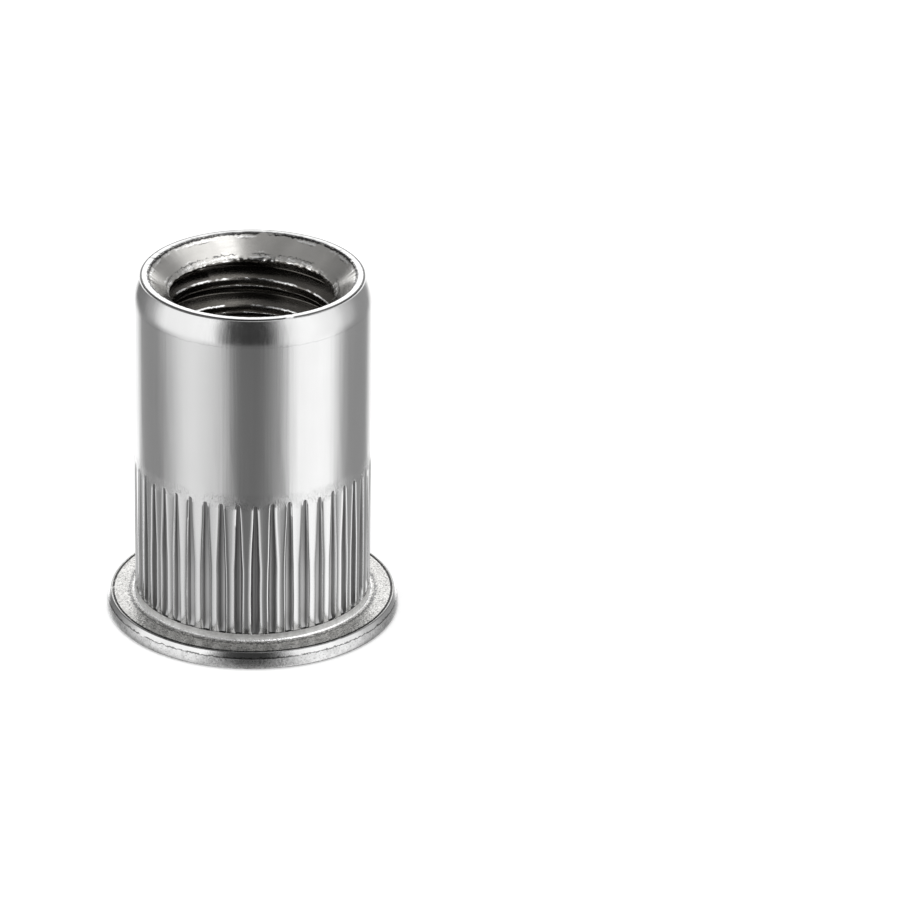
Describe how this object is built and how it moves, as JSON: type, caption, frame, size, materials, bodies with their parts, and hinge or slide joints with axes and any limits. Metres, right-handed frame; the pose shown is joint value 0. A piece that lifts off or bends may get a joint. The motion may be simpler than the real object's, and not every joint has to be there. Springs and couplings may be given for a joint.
{
  "type": "rivet nut",
  "caption": "Flanged rivet nut: a threaded tube with a straight-knurled, thin-walled shank that bulges behind a sheet to hold a screw.",
  "frame": {"origin": "centre of the flange's outer face, which the nut stands on", "axes": "+Z along the nut's axis, from the flange to the threaded end"},
  "size_m": [0.0125, 0.0124, 0.0154],
  "materials": {
    "stainless_steel": "smooth rolled and turned stainless steel with fine satin turning marks"
  },
  "bodies": {
    "root": {"rivet_nut": "stainless_steel"}
  },
  "joints": []
}
